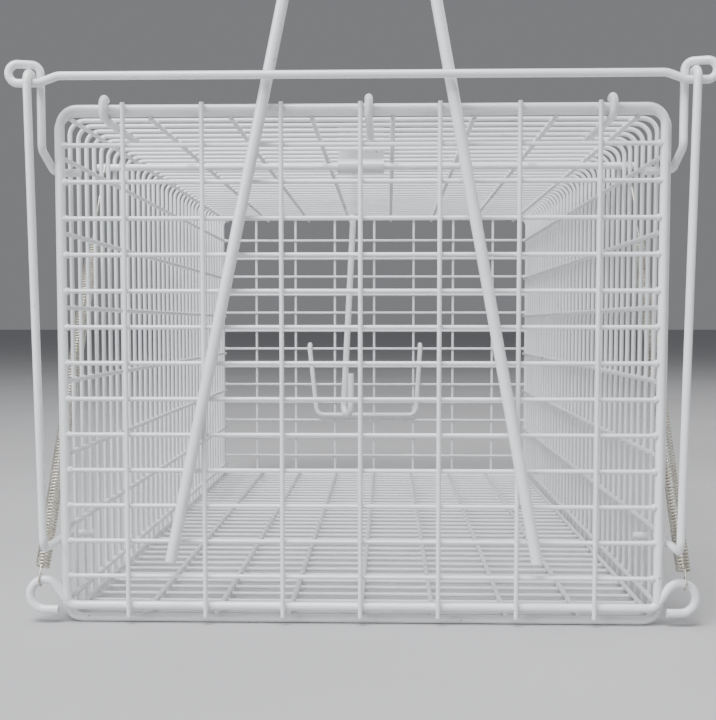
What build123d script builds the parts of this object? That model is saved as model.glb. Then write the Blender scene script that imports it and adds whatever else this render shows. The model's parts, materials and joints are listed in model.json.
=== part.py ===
from build123d import *
import math
import os

# Live catch trap: a welded wire cage with a spring-closed front door, a set
# lever on the door, a rocking catch on the roof and a bait hook at the rear
# that trips it.  Millimetres.  The model is laid out from the front hoop's
# centre plane (y = 0) and the floor (z = 0), and is moved at the end so that
# its origin is the bottom centre of its box.  The door faces -Y.

# ---------------------------------------------------------------- sizes
cage_width = 160.0
cage_height = 135.5
cage_length = 310.0
weld = 0.1                    # how far two welded wires press into each other
running_gap = 0.3             # air between wires that move past each other
bail_gap = 0.6                # play between the bail's bar and the lever

hoop_wire = 2.3               # wire diameters
mesh_wire = 1.2
hinge_wire = 2.1
bail_wire = 2.1
lever_wire = 3.0
bait_wire = 3.0
trip_wire = 1.5
anchor_wire = 2.1

hoop_corner = 4.5             # centre-line bend radii
shell_corner = 4.0
shell_count = 34
roof_rod_count = 8
roof_rod_pitch = 21.0
roof_rod_shift = -2.15
wall_rod_count = 7
wall_rod_low = 6.7
wall_rod_top_margin = 13.2
floor_rod_count = 9
floor_rod_pitch = 19.2

panel_vertical_count = 7
panel_vertical_pitch = 20.4
panel_horizontal_count = 13
rear_first_height = 11.2
rear_top_margin = 12.7        # last horizontal below the hoop's top

door_side_margin = 1.0        # how much narrower than the hoop, each side
door_bar_height = 5.0
door_first_height = 12.95
door_top_margin = 10.0        # last horizontal below the hoop's top
door_wire_above = 1.4         # verticals past the top bar's centre
door_wire_below = 2.6
loop_radius = 4.0
loop_reach = 6.0              # loop centre outside the door's side bar
loop_rise = 2.75
loop_start_in = 0.85
loop_bend = 2.5
loop_tail = 3.5

hinge_gap = 0.35
hinge_leg_length = 38.0
hinge_hook_places = [("left", -66.1), ("centre", 2.1), ("right", 64.3)]
hinge_wrap = 210.0

lever_foot_height = 17.6
lever_foot_left = -49.5
lever_foot_right = 45.9
lever_top_left = -12.6
lever_top_right = 12.9
lever_reach = 60.0            # crossbar above the door's hinge
lever_bend = 4.5

bail_bar_rise = 6.5           # bar above the hoop's top
bail_leg_out = 1.4            # leg centre outside the hoop
bail_eye_height = 4.9         # between the eye's two strands
bail_eye_reach = 5.0
bail_slope_run = 5.0
bail_drop = 1.8
bail_pivot_below = 16.0       # pivot below the hoop's top
bail_knee_rise = 4.5
bail_hook_in = 5.5
bail_bend = 2.2
bail_corner = 4.0             # where the bar turns into an eye
bail_eye_straight = 0.01      # short run between an eye's two half turns
side_rod_top_out = 3.6        # centre outside the hoop at the top
side_rod_foot_out = 1.4
side_rod_foot_height = 21.5
side_rod_bend = 2.7
side_rod_end = 7.0

anchor_shell_wire = 7         # counted from the front
anchor_below_top = 7.4
anchor_stick_out = 3.3
spring_outer = 4.0
spring_wire = 0.5
spring_top_out = 1.8          # from the hoop's side at the anchor
spring_foot_out = 5.0         # from the hoop's side at the loop
spring_top_hook = 27.0
spring_foot_hook = 3.5
spring_ring_gap = 0.15

catch_sheet = 0.9
catch_width = 14.3
catch_centre = -1.35
catch_bend = 1.8
catch_hole_rise = 8.6
catch_slot_height = 3.3
catch_bore_gap = 0.15

bait_shell_wire = 32
bait_x = -10.2
bait_foot_x = -15.0
bait_foot_back = 0.0          # foot behind the pivot
bait_foot_height = 33.7
bait_point_x = -11.0
bait_point_ahead = 9.0
bait_point_height = 55.5
bait_arm = 10.5               # trip rod above the pivot
bait_arm_end = 4.2
bait_bend = 4.4
bait_straight = 6.0
trip_front_x = -4.0
trip_tip = 2.4
trip_gap = 0.9                # between the bent tip and the catch

guard_wire = 2.3
guard_row = 6                 # rear horizontal that it hangs on
guard_top_left = -33.3
guard_top_right = 23.8
guard_low_left = -29.6
guard_low_right = 21.7
guard_drop = 34.35
guard_bend = 4.0

# ------------------------------------------------------- worked-out places
hoop_r = hoop_wire / 2
mesh_r = mesh_wire / 2
hinge_r = hinge_wire / 2
bail_r = bail_wire / 2
lever_r = lever_wire / 2
bait_r = bait_wire / 2
trip_r = trip_wire / 2
anchor_r = anchor_wire / 2
guard_r = guard_wire / 2
spring_r = spring_wire / 2

half_width = cage_width / 2
hoop_x = half_width - hoop_r
hoop_top = cage_height - hoop_r
rear_y = cage_length - hoop_wire
rod_inset = hoop_r + mesh_r - weld          # rods inside the hoops
shell_inset = rod_inset - (mesh_wire - weld)  # cross wires outside the rods
shell_x = hoop_x - shell_inset
shell_top = hoop_top - shell_inset
shell_pitch = rear_y / (shell_count + 1)
floor_rod_z = hoop_r + rod_inset
floor_wire_z = hoop_r + shell_inset

door_y = -(hoop_wire + running_gap)
hinge_leg_z = hoop_top - hoop_r - hinge_r + weld
hinge_turn = hoop_r + hinge_gap + hinge_r
door_axis_z = hinge_leg_z + hinge_turn
door_x = hoop_x - door_side_margin
door_vertical_y = door_y - rod_inset
door_horizontal_y = door_y - shell_inset
door_last_height = cage_height - door_top_margin
loop_x = door_x + loop_reach
loop_z = door_bar_height + loop_rise
lever_y = door_vertical_y - mesh_r - lever_r + weld

anchor_y = anchor_shell_wire * shell_pitch - mesh_r - anchor_r + weld
anchor_z = cage_height - anchor_below_top
bait_y = bait_shell_wire * shell_pitch

bail_y = lever_y - lever_r - bail_r - bail_gap
bail_leg_y = bail_y + bail_wire + running_gap
bail_z = cage_height + bail_bar_rise
bail_leg_x = half_width + bail_leg_out
bail_pivot_y = (hoop_r + shell_pitch - mesh_r) / 2
bail_pivot_z = cage_height - bail_pivot_below
side_rod_y = bail_y - bail_wire - running_gap
side_rod_foot_y = 1.5 * shell_pitch
eye_low_z = bail_z - bail_drop
side_rod_top_z = eye_low_z + bail_eye_height / 2

guard_eye = mesh_r + running_gap + guard_r
rear_horizontal_y = rear_y + shell_inset
rear_row_pitch = (cage_height - rear_top_margin - rear_first_height) / (panel_horizontal_count - 1)
guard_z = rear_first_height + guard_row * rear_row_pitch

front_reach = side_rod_y - bail_r
rear_reach = rear_horizontal_y + guard_eye + guard_r
origin_shift = Location((0, -(front_reach + rear_reach) / 2, 0))


# ---------------------------------------------------------------- helpers
def rod(start, end, radius):
    """A straight wire from one point to another."""
    run = Vector(*end) - Vector(*start)
    return Solid.make_cylinder(radius, run.length, Plane(origin=start, z_dir=run))


def bent_wire(edges, radius):
    """A round wire along edges that meet tangent to one another."""
    path = Wire(edges)
    section = Plane(origin=path @ 0, z_dir=path % 0) * Circle(radius)
    return sweep(section, path=path)


def polyline_wire(points, bend, radius):
    """A round wire through points, with bend as one radius or one a corner."""
    return bent_wire(FilletPolyline(*points, radius=bend).edges(), radius)


def ring(centre, turn_radius, radius, axis=(1, 0, 0)):
    """A closed eye of round wire."""
    return Solid.make_torus(turn_radius, radius, Plane(origin=centre, z_dir=axis))


def spread(count, pitch, centre=0.0):
    """Evenly spaced places on both sides of a centre."""
    return [centre + pitch * (i - (count - 1) / 2) for i in range(count)]


def between(first, last, count):
    """Evenly spaced places from first to last."""
    return [first + (last - first) * i / (count - 1) for i in range(count)]


def write(name, shapes):
    """Move a node to the final origin and write its STEP file."""
    solids = []
    for shape in shapes:
        solids.extend(shape.solids())
    moved = [solid.moved(origin_shift) for solid in solids]
    export_step(Compound(children=moved), f"parts/{name}.step")


# ------------------------------------------------------------------- cage
def hoop(y):
    """A closed rounded rectangle of thick wire that ends the cage."""
    plane = Plane(origin=(0, y, cage_height / 2), x_dir=(1, 0, 0), z_dir=(0, -1, 0))
    outline = plane * RectangleRounded(2 * hoop_x, cage_height - hoop_wire, hoop_corner)
    return bent_wire(outline.wire().edges(), hoop_r)


def shell_wires():
    """Inverted U wires that make the roof and both side walls."""
    wires = []
    for i in range(shell_count):
        y = shell_pitch * (i + 1)
        points = [(-shell_x, y, floor_wire_z - mesh_r), (-shell_x, y, shell_top)]
        points += [(shell_x, y, shell_top), (shell_x, y, floor_wire_z - mesh_r)]
        wires.append(polyline_wire(points, shell_corner, mesh_r))
    return wires


def long_rods(places):
    """Lengthwise rods between the two hoops."""
    end = rear_y - weld
    return [rod((x, -mesh_r, z), (x, end, z), mesh_r) for x, z in places]


def roof_rods():
    z = hoop_top - rod_inset
    return long_rods([(x, z) for x in spread(roof_rod_count, roof_rod_pitch, roof_rod_shift)])


def wall_rods(side):
    x = side * (hoop_x - rod_inset)
    top = cage_height - wall_rod_top_margin
    return long_rods([(x, z) for z in between(wall_rod_low, top, wall_rod_count)])


def floor_rods():
    return long_rods([(x, floor_rod_z) for x in spread(floor_rod_count, floor_rod_pitch)])


def floor_wires():
    """Cross wires under the floor rods, butted to the legs of the shell wires."""
    end = shell_x - mesh_r + weld
    ys = [shell_pitch * (i + 1) for i in range(shell_count)]
    return [rod((-end, y, floor_wire_z), (end, y, floor_wire_z), mesh_r) for y in ys]


def panel_verticals(y, low, high):
    xs = spread(panel_vertical_count, panel_vertical_pitch)
    return [rod((x, y, low), (x, y, high), mesh_r) for x in xs]


def panel_horizontals(y, reach, heights):
    return [rod((-reach, y, z), (reach, y, z), mesh_r) for z in heights]


def rear_verticals():
    low = hoop_r - mesh_r
    return panel_verticals(rear_y + rod_inset, low, hoop_top + mesh_r)


def rear_horizontals():
    heights = between(rear_first_height, cage_height - rear_top_margin, panel_horizontal_count)
    return panel_horizontals(rear_horizontal_y, hoop_x - hoop_r / 2, heights)


def hinge_hook(x):
    """A leg welded under the roof whose front end curls round the door's top bar."""
    plane = Plane(origin=(x, 0, 0), x_dir=(0, 1, 0), z_dir=(1, 0, 0))
    leg = Line((hinge_leg_length, hinge_leg_z), (door_y, hinge_leg_z))
    curl = CenterArc((door_y, door_axis_z), hinge_turn, 270, -hinge_wrap)
    return bent_wire([plane * leg, plane * curl], hinge_r)


def spring_anchor_rod():
    """A rod across the cage that anchors both springs and carries the catch."""
    end = half_width + anchor_stick_out
    return rod((-end, anchor_y, anchor_z), (end, anchor_y, anchor_z), anchor_r)


# ------------------------------------------------------------------- door
def door_frame():
    """Two side bars and the top bar, which is the hinge pin."""
    foot = door_bar_height + hoop_r / 2
    points = [(-door_x, door_y, foot), (-door_x, door_y, door_axis_z)]
    points += [(door_x, door_y, door_axis_z), (door_x, door_y, foot)]
    return polyline_wire(points, hoop_corner, hoop_r)


def loop_edges(side):
    """One end of the bottom bar, from its cut end round the loop to the bar."""
    start = door_x - loop_start_in
    run = loop_x - start
    reach = math.hypot(run, loop_rise)
    slope = math.atan2(loop_rise, run) + math.asin(loop_radius / reach)
    length = math.sqrt(reach**2 - loop_radius**2)
    touch = (start + length * math.cos(slope), door_bar_height + length * math.sin(slope))
    touch_angle = math.degrees(slope) + 90
    turn = touch_angle + 90
    low = loop_z - loop_radius
    tail = (side * (loop_x - loop_tail), door_y, low)
    bottom = (side * loop_x, door_y, low)
    faces = -1 if side > 0 else 1
    plane = Plane(origin=(side * loop_x, door_y, loop_z), x_dir=(side, 0, 0), z_dir=(0, faces, 0))
    curl = plane * CenterArc((0, 0), loop_radius, 270, turn)
    corner = [(side * touch[0], door_y, touch[1]), (side * start, door_y, door_bar_height)]
    corner.append((0, door_y, door_bar_height))
    return [Line(tail, bottom), curl] + list(FilletPolyline(*corner, radius=loop_bend).edges())


def door_bottom_bar():
    """The bottom bar, with a spring loop bent up at each end."""
    edges = loop_edges(-1) + loop_edges(1)
    return bent_wire(edges, hoop_r)


def door_verticals():
    low = door_bar_height - door_wire_below
    return panel_verticals(door_vertical_y, low, door_axis_z + door_wire_above)


def door_horizontals():
    heights = between(door_first_height, door_last_height, panel_horizontal_count)
    return panel_horizontals(door_horizontal_y, door_x - hoop_r / 2, heights)


def set_lever():
    """One bent rod: two legs on the door and a crossbar above the hinge."""
    top = door_axis_z + lever_reach
    points = [(lever_foot_left, lever_y, lever_foot_height), (lever_top_left, lever_y, top)]
    points += [(lever_top_right, lever_y, top), (lever_foot_right, lever_y, lever_foot_height)]
    return polyline_wire(points, lever_bend, lever_r)


# ------------------------------------------------------ bail and side rods
def bail_half(side):
    """Points of the bail from its hook inside the side wall to the bar's middle."""
    wall_in = half_width - bail_hook_in
    knee_z = bail_pivot_z + bail_knee_rise
    eye_top = eye_low_z + bail_eye_height
    eye_out = bail_leg_x + bail_eye_reach + bail_eye_height / 2
    points = [(wall_in, bail_pivot_y, bail_pivot_z)]
    points.append((bail_leg_x, bail_pivot_y, bail_pivot_z))
    points.append((bail_leg_x, bail_leg_y, knee_z))
    points.append((bail_leg_x, bail_leg_y, eye_top))
    points.append((eye_out, bail_y, eye_top))
    points.append((eye_out, bail_y, eye_low_z))
    points.append((bail_leg_x, bail_y, eye_low_z))
    points.append((bail_leg_x - bail_slope_run, bail_y, bail_z))
    return [(side * x, y, z) for x, y, z in points]


def front_bail():
    """One wire across the front, with an eye and a hooked leg at each end."""
    points = bail_half(-1) + bail_half(1)[::-1]
    eye_bend = bail_eye_height / 2 - bail_eye_straight
    bends = 3 * [bail_bend] + 2 * [eye_bend] + 2 * [bail_corner]
    return polyline_wire(points, bends + bends[::-1], bail_r)


def side_rod(side):
    """A tie rod hooked through the bail's eye and into the side wall below."""
    top_x = half_width + side_rod_top_out
    foot_x = half_width + side_rod_foot_out
    points = [(top_x, side_rod_y + side_rod_end, side_rod_top_z)]
    points.append((top_x, side_rod_y, side_rod_top_z))
    points.append((foot_x, side_rod_y, side_rod_foot_height))
    points.append((foot_x, side_rod_foot_y, side_rod_foot_height))
    points.append((half_width - bail_hook_in, side_rod_foot_y, side_rod_foot_height))
    placed = [(side * x, y, z) for x, y, z in points]
    return polyline_wire(placed, [side_rod_bend, side_rod_bend, bail_bend], bail_r)


# ---------------------------------------------------------------- springs
def spring_line(side):
    """The spring's two hook centres, on the loop's top and on the anchor rod."""
    foot_x = half_width + spring_foot_out
    foot_z = loop_z + math.sqrt(loop_radius**2 - (foot_x - loop_x) ** 2)
    foot = Vector(side * foot_x, door_y, foot_z)
    top = Vector(side * (half_width + spring_top_out), anchor_y, anchor_z)
    return foot, top, (top - foot).normalized()


def spring(side):
    """The closed coil as a tube, with its long top hook round the anchor rod."""
    foot, top, along = spring_line(side)
    low = foot + along * spring_foot_hook
    high = top - along * spring_top_hook
    coil = Solid.make_cylinder(spring_outer / 2, (high - low).length, Plane(origin=low, z_dir=along))
    bore = spring_outer / 2 - spring_wire
    coil = coil - Solid.make_cylinder(bore, (high - low).length, Plane(origin=low, z_dir=along))
    eye = anchor_r + spring_ring_gap + spring_r
    bridge = rod(high - along * spring_wire, top - along * eye, spring_r)
    cap = Solid.make_cylinder(spring_outer / 2, spring_wire, Plane(origin=high, z_dir=along))
    return coil + cap + bridge + ring(top, eye, spring_r)


def spring_hook(side):
    """The spring's lower hook, a ring round the loop with a short stem."""
    foot, top, along = spring_line(side)
    eye = hoop_r + spring_ring_gap + spring_r
    stem = rod(foot + along * eye, foot + along * (spring_foot_hook - spring_ring_gap), spring_r)
    return ring(foot, eye, spring_r) + stem


# ------------------------------------------------------- catch and trigger
def catch():
    """Bent sheet that rocks on the anchor rod; its lip holds the set lever."""
    web_y = (anchor_shell_wire + 0.5) * shell_pitch
    lip_y = door_y + lever_reach + lever_r + running_gap
    lip_z = door_axis_z - (lever_y - door_y) + lever_r + running_gap + catch_sheet / 2
    barrel_in = anchor_r + catch_bore_gap
    strip_z = anchor_z + barrel_in + catch_sheet / 2
    points = [(catch_centre, anchor_y, strip_z), (catch_centre, web_y, strip_z)]
    points += [(catch_centre, web_y, lip_z), (catch_centre, lip_y, lip_z)]
    path = FilletPolyline(*points, radius=catch_bend)
    section = Plane(origin=path @ 0, x_dir=(1, 0, 0), z_dir=path % 0)
    sheet = sweep(section * Rectangle(catch_width, catch_sheet), path=path)
    left = Plane(origin=(catch_centre - catch_width / 2, anchor_y, anchor_z), z_dir=(1, 0, 0))
    barrel = Solid.make_cylinder(barrel_in + catch_sheet, catch_width, left)
    bore = Solid.make_cylinder(barrel_in, catch_width, left)
    hole_at = (trip_front_x, web_y, anchor_z + catch_hole_rise)
    hole = Plane(origin=hole_at, x_dir=(0, 0, 1), z_dir=(0, 1, 0))
    slot = hole * SlotOverall(catch_slot_height, trip_wire + 2 * running_gap)
    return (sheet + barrel) - bore - extrude(slot, amount=catch_sheet, both=True)


def bait_hook():
    """A rod with an eye on a roof wire, an arm above it and a J below."""
    turn = mesh_r + running_gap + bait_r
    shank_y = bait_y - turn
    foot_y = bait_y + bait_foot_back
    low = bait_foot_height + bait_r
    points = [(bait_x, shank_y, shell_top + bait_arm + bait_arm_end)]
    points.append((bait_x, shank_y, shell_top - bait_straight))
    points.append((bait_foot_x, foot_y, low))
    points.append((bait_point_x, foot_y - bait_point_ahead, low))
    points.append((bait_point_x, foot_y - bait_point_ahead, bait_point_height))
    shank = polyline_wire(points, [bait_bend, bait_bend, bait_bend], bait_r)
    return shank + ring((bait_x, bait_y, shell_top), turn, bait_r - weld)


def trip_rod():
    """A thin rod from the catch's slot to a ring round the bait hook's arm."""
    turn = bait_r + running_gap + trip_r
    web_y = (anchor_shell_wire + 0.5) * shell_pitch
    front_y = web_y - catch_sheet / 2 - trip_gap - trip_r
    z = anchor_z + catch_hole_rise
    eye_y = bait_y - (mesh_r + running_gap + bait_r)
    eye_z = shell_top + bait_arm
    points = [(trip_front_x, front_y, z + trip_tip), (trip_front_x, front_y, z)]
    points.append((trip_front_x, front_y + 4 * trip_wire, z))
    points.append((bait_x, eye_y - turn, eye_z))
    rod_part = polyline_wire(points, [trip_wire, 4 * trip_wire], trip_r)
    return rod_part + ring((bait_x, eye_y, eye_z), turn, trip_r, (0, 0, 1))


def guard_loop():
    """A U of wire that swings from a rear horizontal, inside the cage."""
    y = rear_horizontal_y - guard_eye
    low = guard_z - guard_drop
    points = [(guard_top_left, y, guard_z), (guard_low_left, y, low)]
    points += [(guard_low_right, y, low), (guard_top_right, y, guard_z)]
    loop = polyline_wire(points, guard_bend, guard_r)
    for x in (guard_top_left, guard_top_right):
        loop = loop + ring((x, rear_horizontal_y, guard_z), guard_eye, guard_r)
    return loop


# ------------------------------------------------------------------ write
os.makedirs("parts", exist_ok=True)
write("front_hoop", [hoop(0)])
write("rear_hoop", [hoop(rear_y)])
write("shell_wires", shell_wires())
write("roof_rods", roof_rods())
write("left_wall_rods", wall_rods(-1))
write("right_wall_rods", wall_rods(1))
write("floor_rods", floor_rods())
write("floor_wires", floor_wires())
write("rear_verticals", rear_verticals())
write("rear_horizontals", rear_horizontals())
for place, x in hinge_hook_places:
    write(f"hinge_hook_{place}", [hinge_hook(x)])
write("spring_anchor_rod", [spring_anchor_rod()])
write("door_frame", [door_frame()])
write("door_bottom_bar", [door_bottom_bar()])
write("door_verticals", door_verticals())
write("door_horizontals", door_horizontals())
write("set_lever", [set_lever()])
write("front_bail", [front_bail()])
for place, side in (("left", -1), ("right", 1)):
    write(f"side_rod_{place}", [side_rod(side)])
    write(f"spring_{place}", [spring(side)])
    write(f"spring_hook_{place}", [spring_hook(side)])
write("catch", [catch()])
write("trip_rod", [trip_rod()])
write("bait_hook", [bait_hook()])
write("guard_loop", [guard_loop()])
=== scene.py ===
# %% [markdown]
# # Live catch trap
# A cage of welded, white powder-coated wire with a door that two springs pull
# shut.  The wires come from the CAD frame with their true sizes, so this
# lesson adds what CAD leaves out: the coat, the weld beads, and the wound
# springs with their hooks.
# %% Load the frame
import json
import math
import random

import bmesh
import bpy
from mathutils import Matrix, Vector


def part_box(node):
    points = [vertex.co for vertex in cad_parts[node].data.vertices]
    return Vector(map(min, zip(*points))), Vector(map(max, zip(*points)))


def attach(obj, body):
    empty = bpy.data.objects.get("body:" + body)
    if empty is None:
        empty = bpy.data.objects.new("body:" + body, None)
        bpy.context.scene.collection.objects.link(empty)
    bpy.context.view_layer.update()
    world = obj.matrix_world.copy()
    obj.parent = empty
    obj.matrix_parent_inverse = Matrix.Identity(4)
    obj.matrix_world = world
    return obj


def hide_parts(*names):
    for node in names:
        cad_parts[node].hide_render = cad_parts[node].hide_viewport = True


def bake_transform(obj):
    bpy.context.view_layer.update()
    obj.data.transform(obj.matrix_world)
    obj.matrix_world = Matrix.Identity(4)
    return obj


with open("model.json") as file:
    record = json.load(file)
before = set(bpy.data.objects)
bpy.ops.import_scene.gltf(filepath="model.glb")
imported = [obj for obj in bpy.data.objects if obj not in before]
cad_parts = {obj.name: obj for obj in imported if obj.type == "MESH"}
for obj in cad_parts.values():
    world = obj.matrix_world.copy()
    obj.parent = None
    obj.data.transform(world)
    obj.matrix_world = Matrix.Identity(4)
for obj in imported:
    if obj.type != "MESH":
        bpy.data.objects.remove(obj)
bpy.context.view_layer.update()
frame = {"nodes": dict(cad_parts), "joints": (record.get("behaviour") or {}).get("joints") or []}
nodes = frame["nodes"]
joints = {joint["name"]: joint for joint in frame["joints"]}
MM = 0.001

# %% [markdown]
# ## Camera
# The lens is close to the door, so the cage narrows strongly towards the back.
# The camera's place is measured from the front hoop, which is the nearest
# large face.  A little downward tilt and lens shift keep the sides almost
# upright while the roof is seen from below.
# %% Camera
hoop_low, hoop_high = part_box("front_hoop")
front_y = (hoop_low[1] + hoop_high[1]) / 2
bar_wire = hoop_high[1] - hoop_low[1]
camera_aside = 7.1 * MM
camera_ahead = 314 * MM
camera_height = 79.2 * MM
camera_pitch = 86.1
camera_yaw = 1.63
camera_data = bpy.data.cameras.new("camera")
camera = bpy.data.objects.new("camera", camera_data)
bpy.context.scene.collection.objects.link(camera)
camera.location = (camera_aside, front_y - camera_ahead, camera_height)
camera.rotation_euler = (math.radians(camera_pitch), 0, math.radians(camera_yaw))
camera_data.sensor_fit = "HORIZONTAL"
camera_data.sensor_width = 36
camera_data.lens = 60.1
camera_data.shift_x = 0.006
camera_data.shift_y = 0.065
camera_data.clip_start = 0.01
bpy.context.scene.camera = camera
print("camera", tuple(round(value, 4) for value in camera.location))

# %% [markdown]
# ## Floor and light
# Thin white wires need broad lamps: small ones would draw hard sparkles on
# every wire.  One large lamp above and in front gives the soft highlight along
# the top of each wire, and two weaker ones open the shadows at the sides.  The
# floor is a plain pale grey, darker than the coat, so that the wires still stand
# out from it.
# %% Floor and lamps
bpy.ops.object.select_all(action="DESELECT")


def node_material(name):
    """A new material with its node tree, its shader and a short way to add nodes."""
    material = bpy.data.materials.new(name)
    material.use_nodes = True
    tree = material.node_tree
    return material, tree, tree.nodes["Principled BSDF"]


def add_node(tree, kind, **inputs):
    """Adds a shader node and sets its inputs by name, with _ for a space."""
    node = tree.nodes.new(kind)
    for key, value in inputs.items():
        node.inputs[key.replace("_", " ")].default_value = value
    return node


def noise(tree, scale, detail=3.0, roughness=0.5):
    """Noise on Object coordinates, so that it stays put on a piece at the origin."""
    place = tree.nodes.new("ShaderNodeTexCoord")
    texture = add_node(tree, "ShaderNodeTexNoise", Scale=scale, Detail=detail, Roughness=roughness)
    tree.links.new(place.outputs["Object"], texture.inputs["Vector"])
    return texture


def ramp(tree, source, stops):
    """A colour ramp with the given (place, colour) stops."""
    node = tree.nodes.new("ShaderNodeValToRGB")
    first, last = node.color_ramp.elements[0], node.color_ramp.elements[1]
    first.position, first.color = stops[0]
    last.position, last.color = stops[-1]
    for place, colour in stops[1:-1]:
        node.color_ramp.elements.new(place).color = colour
    tree.links.new(source, node.inputs["Fac"])
    return node


def floor_material():
    """A matt pale grey with a faint cloudiness."""
    material, tree, shader = node_material("floor_plain")
    speck = noise(tree, 6.0)
    dark, light = (0.42, 0.42, 0.43, 1), (0.46, 0.46, 0.47, 1)
    tone = ramp(tree, speck.outputs["Fac"], [(0.3, dark), (0.7, light)])
    tree.links.new(tone.outputs["Color"], shader.inputs["Base Color"])
    shader.inputs["Roughness"].default_value = 0.75
    return material


floor_side = 40.0
bpy.ops.mesh.primitive_plane_add(size=floor_side, location=(0, 0, 0))
floor = bpy.context.object
floor.name = "floor"
floor.data.materials.append(floor_material())

world = bpy.data.worlds.new("world")
bpy.context.scene.world = world
world.use_nodes = True
background = world.node_tree.nodes["Background"]
background.inputs["Color"].default_value = (0.93, 0.96, 1.0, 1)
background.inputs["Strength"].default_value = 0.22


def lamp(name, place, target, size, power, colour=(1, 1, 1)):
    """A square lamp at place that faces target."""
    data = bpy.data.lights.new(name, "AREA")
    data.size, data.energy, data.color = size, power, colour
    light = bpy.data.objects.new(name, data)
    light.location = place
    light.rotation_euler = (Vector(target) - Vector(place)).to_track_quat("-Z", "Y").to_euler()
    bpy.context.scene.collection.objects.link(light)


middle = (0, 0, 70 * MM)
lamp("lamp_top", (-0.25, -0.7, 1.2), middle, 0.7, 30)
lamp("lamp_left", (-1.1, -0.9, 0.6), middle, 0.6, 12, (0.96, 0.98, 1.0))
lamp("lamp_right", (1.1, 0.4, 0.9), middle, 0.8, 8, (1.0, 0.98, 0.96))
print("floor and", len(bpy.data.lights), "lamps")

# %% [markdown]
# ## Powder coat
# Powder coat is a thick glossy plastic skin.  Close up it has a faint
# orange-peel ripple, slightly uneven whiteness, and small chips where wires
# knock together, which show grey steel.  A principled shader with a coat layer
# gives the gloss, and three noises at different scales give the rest.
# %% Powder coat material
MIX_A, MIX_B, MIX_RESULT = 6, 7, 2      # the Mix node's colour sockets
worn_edge = 0.02
steel_grey = (0.24, 0.23, 0.22, 1)


def powder_coat(name, white, chips):
    """White coat over steel. chips is the share of the noise that is worn through."""
    material, tree, shader = node_material(name)
    cloud = noise(tree, 35.0)
    dim = tuple(0.93 * value for value in white)
    tint = ramp(tree, cloud.outputs["Fac"], [(0.35, (*dim, 1)), (0.65, (*white, 1))])
    wear = noise(tree, 420.0, 4.0, 0.62)
    bare, coated = (1, 1, 1, 1), (0, 0, 0, 1)
    stops = [(0.0, bare), (chips, bare), (chips + worn_edge, coated)]
    mask = ramp(tree, wear.outputs["Fac"], stops)
    steel = tree.nodes.new("ShaderNodeMix")
    steel.data_type = "RGBA"
    tree.links.new(mask.outputs["Color"], steel.inputs["Factor"])
    tree.links.new(tint.outputs["Color"], steel.inputs[MIX_A])
    steel.inputs[MIX_B].default_value = steel_grey
    tree.links.new(steel.outputs[MIX_RESULT], shader.inputs["Base Color"])
    glossy, dull = (0.26, 0.26, 0.26, 1), (0.38, 0.38, 0.38, 1)
    rough = ramp(tree, cloud.outputs["Fac"], [(0.3, glossy), (0.7, dull)])
    tree.links.new(rough.outputs["Color"], shader.inputs["Roughness"])
    peel = noise(tree, 900.0, 2.0)
    bump = add_node(tree, "ShaderNodeBump", Strength=0.12, Distance=0.0002)
    tree.links.new(peel.outputs["Fac"], bump.inputs["Height"])
    tree.links.new(bump.outputs["Normal"], shader.inputs["Normal"])
    shader.inputs["Coat Weight"].default_value = 0.35
    shader.inputs["Coat Roughness"].default_value = 0.12
    return material


coat_mesh = powder_coat("coat_mesh_wire", (0.80, 0.82, 0.84), 0.25)
coat_bar = powder_coat("coat_thick_wire", (0.83, 0.845, 0.86), 0.27)
coat_weld = powder_coat("coat_weld_bead", (0.76, 0.78, 0.80), 0.29)
print("coats", coat_mesh.name, coat_bar.name, coat_weld.name)

# %% [markdown]
# ## Zinc and sheet steel
# The springs are drawn from bright wire and plated with zinc, which turns
# slightly yellow.  It is a metal, so its colour is in the reflection, and a
# fine noise makes the roughness uneven.  The catch is a plain bent plate with
# the same white coat and a few more chips; its white is painted darker, as
# painted shade for the shade under the plate.
# %% Zinc and catch materials


def zinc():
    """Bright zinc on drawn wire, slightly yellow in places."""
    material, tree, shader = node_material("zinc_spring_wire")
    cloud = noise(tree, 160.0)
    yellow, bright = (0.52, 0.49, 0.40, 1), (0.70, 0.68, 0.62, 1)
    tint = ramp(tree, cloud.outputs["Fac"], [(0.3, yellow), (0.7, bright)])
    tree.links.new(tint.outputs["Color"], shader.inputs["Base Color"])
    grain = noise(tree, 1400.0, 2.0)
    glossy, dull = (0.24, 0.24, 0.24, 1), (0.42, 0.42, 0.42, 1)
    rough = ramp(tree, grain.outputs["Fac"], [(0.3, glossy), (0.7, dull)])
    tree.links.new(rough.outputs["Color"], shader.inputs["Roughness"])
    shader.inputs["Metallic"].default_value = 1.0
    return material


zinc_wire = zinc()
# The catch's darker white is painted shade for the shade under the plate; its extra chips are wear.
coat_catch_painted_shade = powder_coat("catch_sheet_painted_shade", (0.70, 0.72, 0.74), 0.31)
thick = ["front_hoop", "rear_hoop", "door_frame", "door_bottom_bar", "set_lever", "front_bail"]
thick += ["side_rod_left", "side_rod_right", "spring_anchor_rod", "guard_loop", "bait_hook", "trip_rod"]
thick += [f"hinge_hook_{side}" for side in ("left", "centre", "right")]
for name, node in nodes.items():
    material = coat_bar if name in thick else coat_mesh
    if name == "catch":
        material = coat_catch_painted_shade
    if name.startswith("spring_") and name != "spring_anchor_rod":
        material = zinc_wire
    node.data.materials.clear()
    node.data.materials.append(material)
print("materials on", len(nodes), "nodes")
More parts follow.
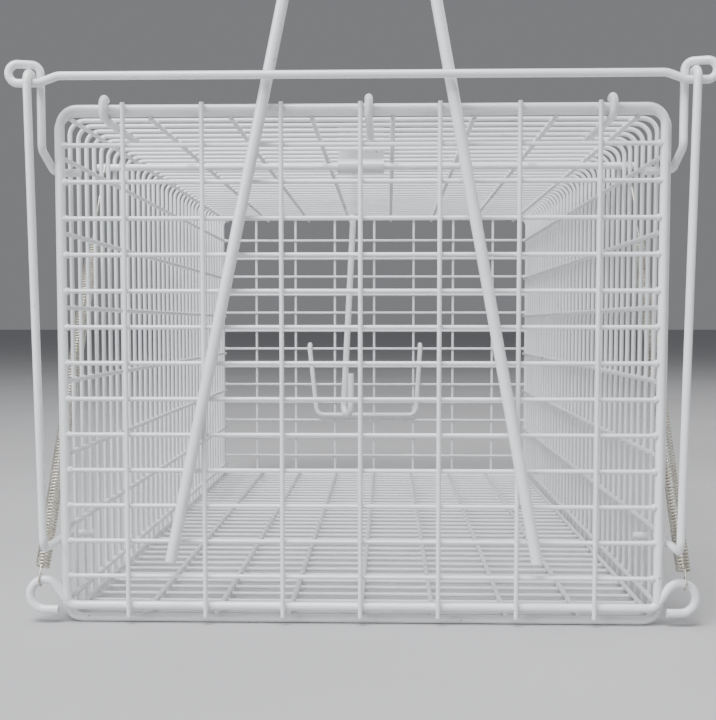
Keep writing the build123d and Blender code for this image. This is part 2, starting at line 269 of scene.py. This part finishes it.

# %% [markdown]
# ## Wound springs
# Each door spring is one length of wire: a long straight hook at the top, about
# a hundred close turns, and a small hook round the door's loop.  A curve with a
# round bevel follows that path exactly, so the coil is made by a loop over its
# angle and not by a texture on a tube.
# %% Springs
spring_wire = 0.5 * MM
coil_turn = 1.75 * MM
coil_pitch = 0.9 * MM
top_hook = 27 * MM
foot_hook = 3.5 * MM
hook_gap = 0.15 * MM
turn_points = 12
hook_points = 20


def wire_from_points(name, points, radius, material):
    """Round wire through points, as a closed mesh with its place in its vertices."""
    curve = bpy.data.curves.new(name, "CURVE")
    curve.dimensions = "3D"
    curve.bevel_depth = radius
    curve.bevel_resolution = 2
    curve.use_fill_caps = True
    spline = curve.splines.new("POLY")
    spline.points.add(len(points) - 1)
    for slot, point in zip(spline.points, points):
        slot.co = (*point, 1)
    piece = bpy.data.objects.new(name, curve)
    bpy.context.scene.collection.objects.link(piece)
    bpy.ops.object.select_all(action="DESELECT")
    piece.select_set(True)
    bpy.context.view_layer.objects.active = piece
    bpy.ops.object.convert(target="MESH")
    bpy.ops.object.shade_smooth()
    piece.data.materials.clear()
    piece.data.materials.append(material)
    return piece


def hook_arc(centre, along, across, eye, first, last, count):
    """Points round a hook, from angle first to last in degrees."""
    points = []
    for i in range(count + 1):
        angle = math.radians(first + (last - first) * i / count)
        points.append(centre + eye * (math.cos(angle) * along + math.sin(angle) * across))
    return points


def wound_spring(side):
    """One door spring of a single wire: top hook, close coil and foot hook."""
    sign = -1 if side == "left" else 1
    tube_low, tube_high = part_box(f"spring_{side}")
    ring_low, ring_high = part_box(f"spring_hook_{side}")
    top_x = tube_high[0] - spring_wire / 2 if sign < 0 else tube_low[0] + spring_wire / 2
    foot_x = ring_low[0] + spring_wire / 2 if sign < 0 else ring_high[0] - spring_wire / 2
    top = Vector(joints[f"spring_{side}_turn"]["pos_m"])
    foot = Vector(joints[f"spring_{side}_stretch"]["pos_m"])
    top.x, foot.x = top_x, foot_x
    along = (foot - top).normalized()
    across = along.cross(Vector((1, 0, 0))).normalized()
    out = along.cross(across)
    anchor_low, anchor_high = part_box("spring_anchor_rod")
    top_eye = (anchor_high[2] - anchor_low[2]) / 2 + hook_gap + spring_wire / 2
    foot_eye = bar_wire / 2 + hook_gap + spring_wire / 2
    points = hook_arc(top, along, across, top_eye, 380, 90, hook_points)
    coil_start = top + along * top_hook
    coil_length = (foot - top).length - top_hook - foot_hook
    turns = round(coil_length / coil_pitch)
    for i in range(turns * turn_points + 1):
        angle = 2 * math.pi * i / turn_points
        step = along * (coil_length * i / (turns * turn_points))
        round_turn = math.cos(angle) * across + math.sin(angle) * out
        points.append(coil_start + step + coil_turn * round_turn)
    points += hook_arc(foot, along, across, foot_eye, 90, -200, hook_points)
    piece = wire_from_points(f"door_spring_{side}", points, spring_wire / 2, zinc_wire)
    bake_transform(piece)
    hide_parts(f"spring_{side}", f"spring_hook_{side}")
    print(piece.name, turns, "turns", len(piece.data.polygons), "faces")


for side in ("left", "right"):
    wound_spring(side)

# %% [markdown]
# ## Weld beads
# Every crossing of the mesh is a resistance weld.  The upper wire sinks a
# little into the lower one and the coat runs into the corner, so a crossing
# reads as a small soft lump.  One low bead is modelled from an icosphere,
# pressed flat, then copied to every crossing.  Seeded random numbers turn each
# copy and change its size a little, so that no two rows look printed.
# %% One bead
random.seed(7)
mesh_wire = 1.2 * MM
bpy.ops.object.select_all(action="DESELECT")
bpy.ops.mesh.primitive_ico_sphere_add(subdivisions=2, radius=1.0, location=(0, 0, 0))
bead = bpy.context.object
bead.name = "bead_pattern"
bpy.ops.object.mode_set(mode="EDIT")
bpy.ops.mesh.select_all(action="SELECT")
bead_flatness = 0.72
bpy.ops.transform.resize(value=(1.0, 1.0, bead_flatness), center_override=(0, 0, 0))
bpy.ops.object.mode_set(mode="OBJECT")
bpy.ops.object.shade_smooth()
bead_mesh = bead.data
bead_mesh.materials.append(coat_weld)
print("bead", len(bead_mesh.polygons), "faces")

# %% [markdown]
# ## Where the beads go
# The wires of a group are evenly spaced, so their places come from the group's
# box and its count.  Each row of crossings is a grid of two such lists.
# %% Bead grids


def places(node, axis, count, wire=mesh_wire):
    """Centres of count evenly spaced wires of a node along one axis."""
    low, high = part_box(node)
    first, last = low[axis] + wire / 2, high[axis] - wire / 2
    return [first + (last - first) * i / (count - 1) for i in range(count)]


def centre(node, axis):
    """The middle of a node's box along one axis."""
    low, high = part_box(node)
    return (low[axis] + high[axis]) / 2


def bead_group(name, body, spots, size, flat):
    """Beads at spots, joined to one piece. flat is the thin direction of a bead."""
    turn = Vector((0, 0, 1)).rotation_difference(Vector(flat)).to_matrix().to_4x4()
    build = bmesh.new()
    for spot in spots:
        spin = Matrix.Rotation(random.uniform(0, math.pi), 4, "Z")
        grow = Matrix.Scale(size * random.uniform(0.9, 1.1), 4)
        copy = bead_mesh.copy()
        copy.transform(Matrix.Translation(spot) @ turn @ spin @ grow)
        build.from_mesh(copy)
        bpy.data.meshes.remove(copy)
    mesh = bpy.data.meshes.new(name)
    build.to_mesh(mesh)
    build.free()
    mesh.materials.append(coat_weld)
    piece = bpy.data.objects.new(name, mesh)
    bpy.context.scene.collection.objects.link(piece)
    bpy.ops.object.select_all(action="DESELECT")
    piece.select_set(True)
    bpy.context.view_layer.objects.active = piece
    bpy.ops.object.shade_smooth()
    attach(piece, body)
    print(name, len(spots), "beads")


X, Y, Z = 0, 1, 2
shell_y = places("shell_wires", Y, 34)
roof_x = places("roof_rods", X, 8)
wall_z = places("left_wall_rods", Z, 7)
floor_x = places("floor_rods", X, 9)
panel_x = places("rear_verticals", X, 7)
rear_z = places("rear_horizontals", Z, 13)
door_z = places("door_horizontals", Z, 13)
bead_size = 0.86 * MM
contact = 0.55 * MM       # from a rod's centre to where it meets the cross wire
roof_z = centre("roof_rods", Z) + contact
floor_z = centre("floor_rods", Z) - contact
spots = [(x, y, roof_z) for x in roof_x for y in shell_y]
bead_group("welds_roof", "cage", spots, bead_size, (0, 0, 1))
spots = [(x, y, floor_z) for x in floor_x for y in shell_y]
bead_group("welds_floor", "cage", spots, bead_size, (0, 0, 1))
for side, sign in (("left", -1), ("right", 1)):
    wall_x = centre(f"{side}_wall_rods", X) + sign * contact
    spots = [(wall_x, y, z) for z in wall_z for y in shell_y]
    bead_group(f"welds_{side}_wall", "cage", spots, bead_size, (1, 0, 0))
rear_weld_y = (centre("rear_horizontals", Y) + centre("rear_verticals", Y)) / 2
spots = [(x, rear_weld_y, z) for x in panel_x for z in rear_z]
bead_group("welds_rear", "cage", spots, bead_size, (0, 1, 0))
door_weld_y = (centre("door_horizontals", Y) + centre("door_verticals", Y)) / 2
spots = [(x, door_weld_y, z) for x in panel_x for z in door_z]
bead_group("welds_door", "door", spots, bead_size, (0, 1, 0))
bpy.data.objects.remove(bead)

# %% [markdown]
# ## Bar welds
# The mesh wires end on the thick bars of the door, the hoops and the lever.
# These welds are larger, and the coat pools round them.
# %% Beads on the thick bars
bar_bead = 1.15 * MM
side_bead = 0.95 * MM
side_inset = bar_wire * 1.1       # from a bar's outer side to the weld
wire_below = 2.6 * MM             # the door's verticals run past the bottom bar
pin_z = joints["door_swing"]["pos_m"][Z]
bar_y = (centre("door_frame", Y) + centre("door_verticals", Y)) / 2
foot_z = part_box("door_verticals")[0][Z] + wire_below
spots = [(x, bar_y, z) for x in panel_x for z in (foot_z, pin_z)]
bead_group("welds_door_bars", "door", spots, bar_bead, (0, 1, 0))
rear_bar_y = (centre("rear_hoop", Y) + centre("rear_verticals", Y)) / 2
hoop_ends = (hoop_low[Z] + bar_wire / 2, hoop_high[Z] - bar_wire / 2)
spots = [(x, rear_bar_y, z) for x in panel_x for z in hoop_ends]
bead_group("welds_rear_bars", "cage", spots, bar_bead, (0, 1, 0))
side_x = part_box("door_frame")[1][X] - side_inset
weld_y = centre("door_horizontals", Y)
spots = [(sign * side_x, weld_y, z) for z in door_z for sign in (-1, 1)]
bead_group("welds_door_sides", "door", spots, side_bead, (0, 1, 0))
side_x = hoop_high[X] - side_inset
weld_y = centre("rear_horizontals", Y)
spots = [(sign * side_x, weld_y, z) for z in rear_z for sign in (-1, 1)]
bead_group("welds_rear_sides", "cage", spots, side_bead, (0, 1, 0))
